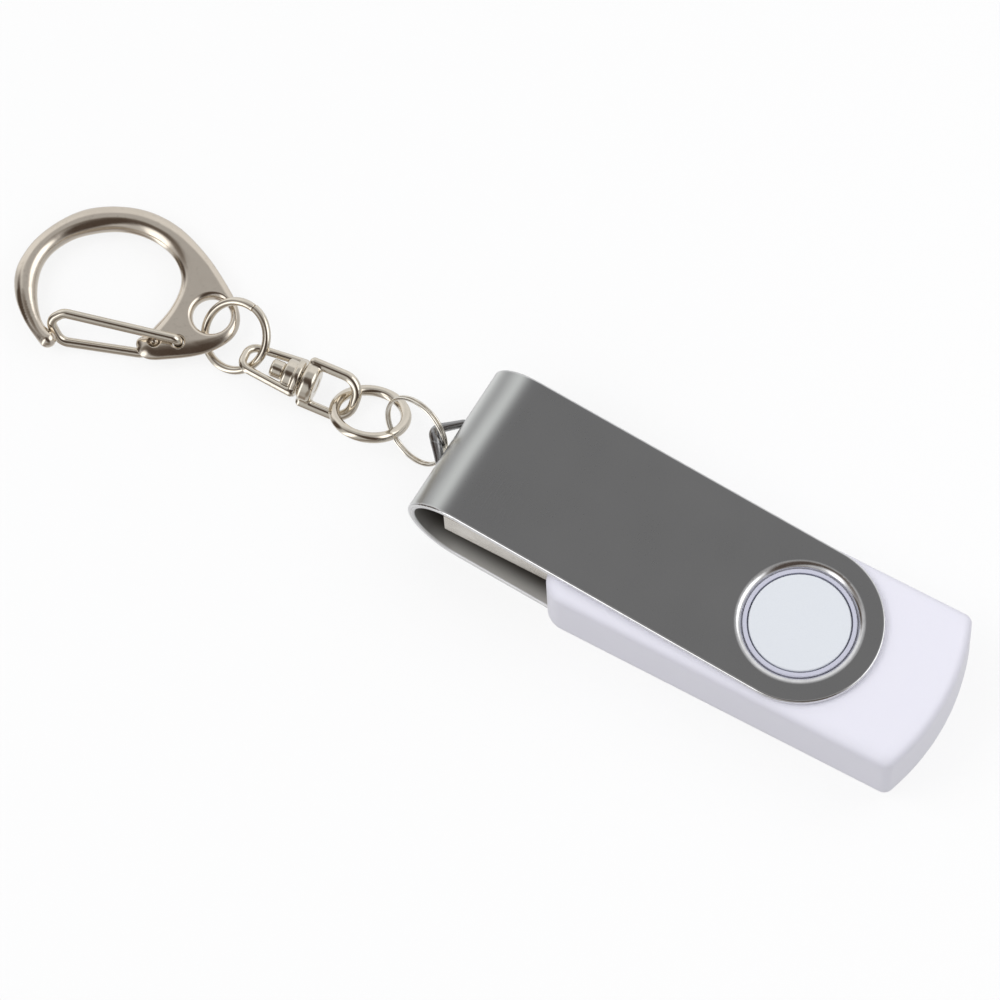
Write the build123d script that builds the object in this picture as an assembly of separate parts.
from build123d import *
import os
import math

# Swivel USB flash drive with a folded steel clip and a keychain hook.
# Millimetres, +Z up. Origin: the pivot axis of the clip, on the plane the
# drive rests on (outer face of the clip's lower plate). The plug points to -X.

os.makedirs("parts", exist_ok=True)

# ---- shared sizes
CLIP_W = 17.5            # width of the folded strip
CLIP_T = 0.8             # sheet thickness
CLIP_H = 11.47           # outer height over both plates
MID_Z = CLIP_H / 2       # mid plane of the drive
BEND_X = -36.4           # centre of the semicircular fold
FOLD_X = BEND_X - MID_Z  # outermost line of the fold
HOLE_R = 5.95            # pivot hole in each plate
LOOP_WIRE, LOOP_Y = 0.55, 2.4  # strap loop: wire radius, half spacing of its legs

WALL = 1.2
SHELL_DEPTH = CLIP_T + 0.07    # housing face below the plate's outer face
CAP_R, CAP_T = 5.28, 0.9
CAP_DROP = 0.26                # cap face below the plate's outer face
STEM_R, STEM_L = 1.5, 1.3

PLUG_W, PLUG_H, PLUG_T = 12.0, 4.5, 0.3
PLUG_TIP, PLUG_REAR = -38.5, -20.3

PCB_TOP = 5.70
PCB_BOTTOM = PCB_TOP - 0.8
PEG_X, PEG_Y = 12.2, 4.9       # pegs that pass through the board

TURN = Rot(0, 0, -2.8)   # rest angle of the clip and everything that hangs on it


# ---- helpers
def save(part, name):
    part.label = name
    export_step(part, f"parts/{name}.step")


def box(x0, x1, y0, y1, z0, z1):
    """Box between two opposite corners, given in any order."""
    centre = Pos((x0 + x1) / 2, (y0 + y1) / 2, (z0 + z1) / 2)
    return centre * Box(abs(x1 - x0), abs(y1 - y0), abs(z1 - z0))


def cyl(radius, x, y, z0, z1):
    return Pos(x, y, (z0 + z1) / 2) * Cylinder(radius, abs(z1 - z0))


def x_cyl(radius, length, x, y=0, z=0):
    """Cylinder along X, centred on the point given."""
    return Pos(x, y, z) * Rot(0, 90, 0) * Cylinder(radius, length)


def turned(x0, x1, radius, soft):
    """Disc along X with both rims rounded."""
    disc = x_cyl(radius, x1 - x0, (x0 + x1) / 2)
    return fillet(disc.edges().filter_by(GeomType.CIRCLE), soft)


def hub_disc(radius, depth0, depth1, top):
    """Disc on the pivot axis, between depths below the upper or lower plate's outer face."""
    z0, z1 = (CLIP_H - depth if top else depth for depth in (depth0, depth1))
    return cyl(radius, 0, 0, z0, z1)


def edges_at(part, z):
    """Edges lying at height z."""
    return [e for e in part.edges()
            if abs(e.center().Z - z) < 1e-3 and abs(e.position_at(0).Z - z) < 1e-3]


def try_fillet(part, edges, radii):
    """Fillet with the first radius that works; the part stays sharp if none does."""
    for radius in radii:
        # the kernel raises an error when a radius does not fit; the next one is then tried
        try:
            rounded = fillet(edges, radius)
            if rounded.is_valid and rounded.volume > 0.3 * part.volume:
                return rounded
        except Exception:
            pass
    return part


def wire_path(points, bend_radii):
    """Straight runs joined by circular bends; one radius per inner point."""
    points = [Vector(*p) for p in points]
    edges, last = [], points[0]
    for before, corner, after, radius in zip(points, points[1:], points[2:], bend_radii):
        back, ahead = (before - corner).normalized(), (after - corner).normalized()
        angle = math.acos(max(-1, min(1, back.dot(ahead))))
        setback = radius / math.tan(angle / 2)
        centre = corner + (back + ahead).normalized() * (radius / math.sin(angle / 2))
        start, end = corner + back * setback, corner + ahead * setback
        middle = centre + (corner - centre).normalized() * radius
        if (start - last).length > 1e-3:
            edges.append(Line(last, start))
        edges.append(ThreePointArc(start, middle, end))
        last = end
    if (points[-1] - last).length > 1e-3:
        edges.append(Line(last, points[-1]))
    return Wire([e.edge() for e in edges])


def rod(points, bend_radii, wire_r):
    """Round wire bent along the points."""
    path = wire_path(points, bend_radii)
    direction = (Vector(*points[1]) - Vector(*points[0])).normalized()
    return sweep(Plane(origin=points[0], z_dir=direction) * Circle(wire_r), path=path)


# ---- folded clip
def fold_section(x_end, thickness):
    """Side view of the fold, filled, lying inside the outer face by the thickness."""
    return (Pos(BEND_X, MID_Z) * Circle(MID_Z - thickness)
            + Pos((BEND_X + x_end) / 2, MID_Z)
            * Rectangle(x_end - BEND_X, CLIP_H - 2 * thickness))


def on_outline(edge):
    """True for the long edges down both sides and round the pivot end."""
    for t in (0.1, 0.5, 0.9):
        p = edge.position_at(t)
        side = abs(abs(p.Y) - CLIP_W / 2) < 1e-3
        end = p.X > 0 and abs(math.hypot(p.X, p.Y) - CLIP_W / 2) < 1e-3
        if not (side or end):
            return False
    return edge.length > 1.0


def swivel_clip():
    section = fold_section(10, 0) - fold_section(11, CLIP_T)
    clip = extrude(Plane.XZ * section, CLIP_W / 2, both=True)
    plan = Circle(CLIP_W / 2) + Pos(-30, 0) * Rectangle(60, CLIP_W)
    clip &= extrude(Pos(0, 0, -1) * plan, CLIP_H + 2)
    # broken edges of the sheet
    clip = try_fillet(clip, [e for e in clip.edges() if on_outline(e)], (0.18, 0.12, 0.08))
    # pivot holes with a rolled-in rim
    clip -= cyl(HOLE_R, 0, 0, -1, CLIP_H + 1)
    rims = [e for e in clip.edges().filter_by(GeomType.CIRCLE)
            if abs(e.radius - HOLE_R) < 1e-3
            and (abs(e.center().Z) < 1e-3 or abs(e.center().Z - CLIP_H) < 1e-3)]
    clip = try_fillet(clip, rims, (0.77, 0.62, 0.5))
    for side in (-1, 1):
        clip -= x_cyl(LOOP_WIRE + 0.03, 4, FOLD_X, side * LOOP_Y, MID_Z)
    return clip


def strap_loop():
    """Staple through the fold, with two flat heads inside it."""
    leg_end, shoulder, tip = FOLD_X + 0.95, FOLD_X - 0.42, FOLD_X - 2.47
    loop = rod([(leg_end, -LOOP_Y, MID_Z), (shoulder, -LOOP_Y, MID_Z), (tip, 0, MID_Z),
                (shoulder, LOOP_Y, MID_Z), (leg_end, LOOP_Y, MID_Z)], [0.7] * 3, LOOP_WIRE)
    for side in (-1, 1):
        loop += x_cyl(0.85, 0.5, FOLD_X + 1.2, side * LOOP_Y, MID_Z)
    return loop


save(TURN * swivel_clip(), "swivel_clip")
save(TURN * strap_loop(), "strap_loop")

# ---- housing
BODY_W = 18.7
FRONT_X, FRONT_R = -26.2, 40.0   # arched plug end
TAIL_X, TAIL_R = 16.9, 25.0      # arched tail end
BODY_ROUND = (1.1, 0.9, 0.6)     # outer edge radii to try
BOSS_R = HOLE_R - 0.05           # running fit in the plate hole
BOSS_DROP = 0.30                 # boss face below the plate's outer face
CAP_SEAM = 0.17                  # open groove round the cap
LIP_INSET, LIP_GAP = 0.62, 0.05
LIP_DROP, LIP_RISE = 0.5, 0.6    # lip below and above the mid plane
BODY_Z0, BODY_Z1 = SHELL_DEPTH, CLIP_H - SHELL_DEPTH
FLOOR, ROOF = BODY_Z0 + WALL, BODY_Z1 - WALL

body = Pos(-5, 0) * Rectangle(60, BODY_W)
body &= Pos(FRONT_X + FRONT_R, 0) * Circle(FRONT_R)
body &= Pos(TAIL_X - TAIL_R, 0) * Circle(TAIL_R)
body = fillet([v for v in body.vertices() if v.X < 0], 2.6)
body = fillet([v for v in body.vertices() if v.X > 10], 1.1)
cavity = offset(body, amount=-WALL)
cavity_span = box(-22.4, 30, -20, 20, -5, 20)   # leaves the plug end wall thicker


def add_hub(shell, top):
    """Boss in the plate hole, with the seat for the cap and the hole for its stem."""
    boss = hub_disc(BOSS_R, BOSS_DROP, SHELL_DEPTH + 0.05, top)
    shell += fillet(edges_at(boss, CLIP_H - BOSS_DROP if top else BOSS_DROP), 0.12)
    shell -= hub_disc(CAP_R + CAP_SEAM, 0, CAP_DROP + CAP_T, top)
    shell -= hub_disc(STEM_R + 0.02, 0, SHELL_DEPTH + WALL + 1, top)
    return shell


def cut_mouth(shell):
    """Plug opening through the front wall, half in each shell."""
    half_w, half_h = PLUG_W / 2 + 0.04, PLUG_H / 2 + 0.04
    return shell - box(-30, -20, -half_w, half_w, MID_Z - half_h, MID_Z + half_h)


def upper_shell():
    shell = extrude(Pos(0, 0, MID_Z) * body, BODY_Z1 - MID_Z)
    shell = try_fillet(shell, edges_at(shell, BODY_Z1), BODY_ROUND)
    shell -= extrude(Pos(0, 0, MID_Z - 0.1) * cavity, ROOF - MID_Z + 0.1) & cavity_span
    # groove for the lower shell's lip
    groove = offset(body, amount=LIP_GAP - LIP_INSET)
    shell -= (extrude(Pos(0, 0, MID_Z - 0.1) * groove, 0.1 + LIP_RISE + LIP_GAP)
              - extrude(Pos(0, 0, MID_Z - 0.2) * cavity, 1.0)) & box(-19.5, 30, -20, 20, 0, 20)
    shell = cut_mouth(add_hub(shell, True))
    # hold-down pins over the board
    for side in (-1, 1):
        for x in (-15.5, 10.8):
            shell += cyl(0.8, x, side * 6.6, PCB_TOP + 0.03, ROOF + 0.1)
    return shell


def lower_shell():
    shell = extrude(Pos(0, 0, BODY_Z0) * body, MID_Z - BODY_Z0)
    shell = try_fillet(shell, edges_at(shell, BODY_Z0), BODY_ROUND)
    shell -= extrude(Pos(0, 0, FLOOR) * cavity, MID_Z - FLOOR + 0.1) & cavity_span
    lip = offset(body, amount=-LIP_INSET)
    shell += (extrude(Pos(0, 0, MID_Z - LIP_DROP) * lip, LIP_DROP + LIP_RISE)
              - extrude(Pos(0, 0, MID_Z - 1) * cavity, 3.0)) & box(-19.3, 30, -20, 20, 0, 20)
    shell = cut_mouth(add_hub(shell, False))
    # board ledges and pegs
    for side in (-1, 1):
        shell += box(-16.5, 11.5, side * 7.0, side * 8.25, FLOOR - 0.1, PCB_BOTTOM)
        shell += cyl(0.8, PEG_X, side * PEG_Y, FLOOR - 0.1, PCB_TOP + 0.3)
    return shell


def pivot_cap(top):
    inner_face = CAP_DROP + CAP_T
    cap = hub_disc(CAP_R, CAP_DROP, inner_face, top)
    cap = fillet(edges_at(cap, CLIP_H - CAP_DROP if top else CAP_DROP), 0.15)
    return cap + hub_disc(STEM_R, inner_face - 0.01, inner_face + STEM_L, top)


save(upper_shell(), "upper_shell")
save(lower_shell(), "lower_shell")
save(pivot_cap(True), "pivot_cap_top")
save(pivot_cap(False), "pivot_cap_bottom")

# ---- plug
CONTACT_T = 0.2
CONTACT_HALF = 0.5       # half width of a contact
# y, distance of the contact's front end behind the plug tip
CONTACTS = ((-3.5, 1.3), (3.5, 1.3), (-1.0, 2.4), (1.0, 2.4))


def usb_shell():
    section = RectangleRounded(PLUG_W, PLUG_H, 0.5)
    section -= RectangleRounded(PLUG_W - 2 * PLUG_T, PLUG_H - 2 * PLUG_T, 0.22)
    tube = Pos(PLUG_TIP, 0, MID_Z) * extrude(Plane.YZ * section, PLUG_REAR - PLUG_TIP)
    for side in (-1, 1):
        # windows through the upper and lower walls
        y = side * 2.6
        tube -= box(PLUG_TIP + 6.3, PLUG_TIP + 8.6, y - 1.0, y + 1.0, 0, 20)
        # tab beside the board
        tube += box(PLUG_REAR - 0.5, PLUG_REAR + 2.6, side * (PLUG_W / 2 - PLUG_T),
                    side * PLUG_W / 2, PCB_TOP - 1.3, PCB_TOP + 0.7)
    return tube


def usb_tongue():
    half_w = PLUG_W / 2 - PLUG_T - 0.05
    half_h = PLUG_H / 2 - PLUG_T - 0.05
    bottom = MID_Z - half_h
    tongue = box(PLUG_TIP + 0.7, -26.4, -half_w, half_w, bottom, PCB_TOP)
    tongue += box(-26.5, PLUG_REAR - 0.1, -half_w, half_w, bottom, MID_Z + half_h)
    tongue = try_fillet(tongue, tongue.edges().filter_by(Axis.X), (0.2, 0.1))
    # slots that let the contacts through the full-height block
    slot = CONTACT_HALF + 0.02
    for y, _ in CONTACTS:
        tongue -= box(-27, -20, y - slot, y + slot, PCB_TOP, PCB_TOP + CONTACT_T + 0.02)
    return tongue


def contact(y, setback):
    strip = box(PLUG_TIP + setback, -18.2, y - CONTACT_HALF, y + CONTACT_HALF,
                PCB_TOP, PCB_TOP + CONTACT_T)
    return fillet(strip.edges().filter_by(Axis.Z), 0.2)


save(usb_shell(), "usb_shell")
save(usb_tongue(), "usb_tongue")
save(Compound(children=[contact(*row) for row in CONTACTS]), "usb_contacts")

# ---- board and its components
pcb = (box(-20.1, 13.8, -5.5, 5.5, PCB_BOTTOM, PCB_TOP)
       + box(-17.2, 13.8, -7.6, 7.6, PCB_BOTTOM, PCB_TOP))
for side in (-1, 1):
    pcb -= cyl(0.88, PEG_X, side * PEG_Y, 0, 12)
save(pcb, "circuit_board")

# x, y, True on the board's upper face
CAPACITORS = ((-15.6, 0.0, True), (-15.6, -2.0, True), (-12.0, -5.6, True), (-0.5, 3.0, False),
              (-0.5, -3.0, False), (3.2, 0.0, False), (-13.6, 0.0, False))
RESISTORS = ((-13.2, 1.6, True), (-13.2, 0.4, True), (-13.2, -1.0, True),
             (6.4, 2.0, False), (6.4, -2.0, False), (10.9, 2.6, True))


def chip(x, y, on_top, length, width, height, bevel):
    """Block on the board, bevelled on its outer face and upright edges."""
    foot, face = (PCB_TOP, PCB_TOP + height) if on_top else (PCB_BOTTOM, PCB_BOTTOM - height)
    block = box(x - length / 2, x + length / 2, y - width / 2, y + width / 2, foot, face)
    return chamfer(edges_at(block, face) + list(block.edges().filter_by(Axis.Z)), bevel)


save(chip(-0.2, 0, True, 18.0, 12.0, 1.0, 0.15), "flash_memory")
save(chip(-7.5, 0, False, 7.0, 7.0, 0.9, 0.12), "controller_chip")
save(chip(-13.4, 4.6, True, 3.2, 2.5, 0.8, 0.12), "crystal")
save(Compound(children=[chip(*row, 1.6, 0.8, 0.8, 0.06) for row in CAPACITORS]), "capacitors")
save(Compound(children=[chip(*row, 1.0, 0.5, 0.35, 0.04) for row in RESISTORS]), "resistors")
save(chip(12.3, 0, True, 1.6, 0.8, 0.6, 0.06), "status_led")

# ---- keychain rings: ring radius, wire radius
SPLIT_R, SPLIT_WIRE = 3.95, 0.17
LINK_R, LINK_WIRE = 3.80, 0.575
JUMP_R, JUMP_WIRE = 3.64, 0.46


def ring_place(centre, normal):
    """Placement of a ring, its X axis as near to world X as the normal allows."""
    normal = Vector(*normal).normalized()
    return Plane(origin=centre, x_dir=Vector(1, 0, 0) - normal * normal.X, z_dir=normal).location


def split_ring():
    """Closely wound ring: two full turns of thin wire."""
    pitch = 2 * SPLIT_WIRE + 0.03
    helix = Helix(pitch=pitch, height=2 * pitch, radius=SPLIT_R)
    start = Plane(origin=helix.position_at(0), z_dir=helix.tangent_at(0))
    return Pos(0, 0, -pitch) * sweep(start * Circle(SPLIT_WIRE), path=helix, is_frenet=True)


def jump_ring():
    """Wire ring with a narrow slit."""
    slit = box(JUMP_R - 2, JUMP_R + 2, -0.06, 0.06, -2, 2)
    return Torus(JUMP_R, JUMP_WIRE) - Rot(0, 0, 82) * slit


split_place = ring_place((-46.416, -0.259, 4.216), (-0.2054, -0.9095, 0.3614))
link_place = ring_place((-51.951, -0.609, 2.503), (-0.1353, 0.4628, 0.8761))
jump_place = ring_place((-68.781, -0.427, 2.483), (-0.1448, -0.5187, 0.8426))
save(TURN * (split_place * split_ring()), "split_ring")
save(TURN * (link_place * Torus(LINK_R, LINK_WIRE)), "link_ring")
save(TURN * (jump_place * jump_ring()), "jump_ring")

# ---- keychain swivel
# local frame: x along the swivel's axis from the eye's outer end, y across the loops
SWIVEL = TURN * Pos(-66.96, -1.905, 2.64) * Rot(0, 0, 8.0) * Rot(0, 3.01, 0)
EYE_ROLL, YOKE_ROLL = -13.75, 33.98
EYE_WIRE, EYE_TIP, EYE_FOOT = 0.48, 1.38, 2.05   # wire radius, half widths at tip and web
YOKE_WIRE, YOKE_HALF = 0.56, 2.25
COLLAR_X, COLLAR_R = 4.90, 1.65
WEB_X0, WEB_X1, WEB_R = 6.05, 6.76, 2.05
DRUM_X0, DRUM_X1, DRUM_R = 6.86, 8.55, 2.10
RIVET_X, RIVET_R = 3.30, 0.75    # outer end of the head, shank radius


def swivel_eye():
    eye = rod([(6.4, EYE_FOOT, 0), (0.28, EYE_TIP, 0), (0.28, -EYE_TIP, 0),
               (6.4, -EYE_FOOT, 0)], [EYE_TIP - 0.2] * 2, EYE_WIRE)
    eye += (turned(WEB_X0, WEB_X1, WEB_R, 0.22)
            + turned(COLLAR_X, WEB_X0 + 0.3, COLLAR_R, 0.25))
    return eye - x_cyl(RIVET_R + 0.05, 4, 6)


def swivel_yoke():
    foot, tip = 7.45, 12.9
    yoke = rod([(foot, -YOKE_HALF, 0), (tip, -YOKE_HALF, 0), (tip, YOKE_HALF, 0),
                (foot, YOKE_HALF, 0)], [YOKE_HALF - 0.35] * 2, YOKE_WIRE)
    for side in (-1, 1):
        yoke += Pos(7.5, side * YOKE_HALF, 0) * Sphere(YOKE_WIRE)
    yoke += turned(DRUM_X0, DRUM_X1, DRUM_R, 0.3)
    return yoke - x_cyl(RIVET_R + 0.02, 4, 8)


def swivel_rivet():
    """Hollow-ended head with a plain shank."""
    rivet = turned(RIVET_X, 4.84, 0.98, 0.35)
    rivet -= x_cyl(0.45, 0.9, RIVET_X)
    return rivet + x_cyl(RIVET_R, 3.8, (4.7 + 8.5) / 2)


save(SWIVEL * Rot(EYE_ROLL, 0, 0) * swivel_eye(), "swivel_eye")
save(SWIVEL * Rot(YOKE_ROLL, 0, 0) * swivel_yoke(), "swivel_yoke")
save(SWIVEL * swivel_rivet(), "swivel_rivet")

# ---- hook
HOOK_Z = 2.302           # mid plane of the hook
HOOK_HALF = 1.2          # half thickness of the rod part
PLATE_HALF = 0.8         # half thickness of the flat part
EYE_X, EYE_Y, HOOK_EYE_R = -72.14, 0.15, 2.0
GATE_WIRE = 0.50
GATE_LEG = 1.36          # legs above and below the mid plane
GATE_AXIS = (-73.5, -4.3)    # hole for the upper leg's end
GATE_END = (-75.7, -5.55)    # hole at the lower leg's end

# x, y along the outer and inner sides; the two curves share their end points
OUTER_SIDE = [
    (-85.28, -11.80), (-86.27, -11.66), (-88.68, -10.54), (-90.46, -9.32), (-91.94, -7.70),
    (-92.81, -5.94), (-93.05, -4.18), (-92.93, -2.26), (-92.39, -0.30), (-91.45, 1.74),
    (-90.11, 3.59), (-88.34, 5.04), (-86.38, 6.12), (-84.34, 6.80), (-82.19, 7.05),
    (-80.04, 6.88), (-77.77, 6.29), (-75.54, 5.46), (-73.72, 4.57), (-71.91, 3.57),
    (-70.33, 2.47), (-69.26, 1.17), (-68.93, -0.45), (-69.41, -2.05), (-70.53, -3.74),
    (-72.19, -5.29), (-73.99, -6.62), (-75.39, -7.39), (-76.47, -7.36), (-77.27, -6.81)]
INNER_SIDE = [
    (-77.27, -6.81), (-77.48, -6.08), (-77.05, -5.26), (-76.71, -4.00), (-76.46, -2.52),
    (-76.39, -1.00), (-76.59, 0.59), (-77.17, 2.05), (-78.18, 3.11), (-79.63, 3.90),
    (-81.47, 4.25), (-83.38, 4.13), (-85.19, 3.59), (-86.72, 2.74), (-88.17, 1.55),
    (-89.38, 0.23), (-90.18, -1.24), (-90.60, -2.76), (-90.54, -4.44), (-89.94, -6.15),
    (-88.92, -7.80), (-87.83, -9.10), (-87.00, -9.82), (-86.15, -9.98), (-85.30, -10.12),
    (-84.85, -10.65), (-84.85, -11.32), (-85.28, -11.80)]
# distance along the ramp, height above the mid plane
RAMP = [(-68.5, HOOK_HALF + 0.01), (-66.5, HOOK_HALF - 0.08),
        (-62.5, PLATE_HALF + 0.08), (-60.5, PLATE_HALF)]


def hook_body():
    outline = Wire([Spline(*OUTER_SIDE).edge(), Spline(*INNER_SIDE).edge()])
    hook = extrude(Pos(0, 0, HOOK_Z - HOOK_HALF) * Face(outline), 2 * HOOK_HALF, dir=(0, 0, 1))
    rim = [e for e in hook.edges()
           if abs(abs(e.position_at(0.5).Z - HOOK_Z) - HOOK_HALF) < 1e-3]
    hook = try_fillet(hook, rim, (0.95, 0.85, 0.75, 0.6, 0.45, 0.3))
    # the flat part is thinner: planed down on both faces behind a gentle ramp
    profile = Polyline((-75, 3), (-75, HOOK_HALF + 0.01), *RAMP, (-40, PLATE_HALF), (-40, 3),
                       close=True)
    above = Rot(0, 0, -36.87) * extrude(Plane.XZ * make_face(profile.edges()), 80, both=True)
    for slab in (above, mirror(above, about=Plane.XY)):
        hook -= (Pos(0, 0, HOOK_Z) * slab) & box(-81.5, -60, -20, 20, -5, 10)
    hook -= cyl(HOOK_EYE_R, EYE_X, EYE_Y, -5, 10)
    eye_rims = [e for e in hook.edges().filter_by(GeomType.CIRCLE)
                if abs(e.radius - HOOK_EYE_R) < 1e-3]
    hook = try_fillet(hook, eye_rims, (0.45, 0.3, 0.2))
    hook -= cyl(GATE_WIRE + 0.06, *GATE_AXIS, -5, 10)
    return hook - cyl(GATE_WIRE + 0.05, *GATE_END, -5, 10)


def hook_gate():
    """Wire gate: over the hook, round its free end and back underneath."""
    upper, lower = HOOK_Z + GATE_LEG, HOOK_Z - GATE_LEG
    return rod([(*GATE_AXIS, HOOK_Z - 0.3), (*GATE_AXIS, upper), (-85.49, -8.03, upper),
                (-86.20, -9.15, HOOK_Z + 0.5), (-84.60, -9.95, lower), (-76.75, -6.80, lower),
                (*GATE_END, lower)], [0.55, 0.75, 0.6, 0.8, 0.7], GATE_WIRE)


save(TURN * hook_body(), "hook_body")
save(TURN * hook_gate(), "hook_gate")
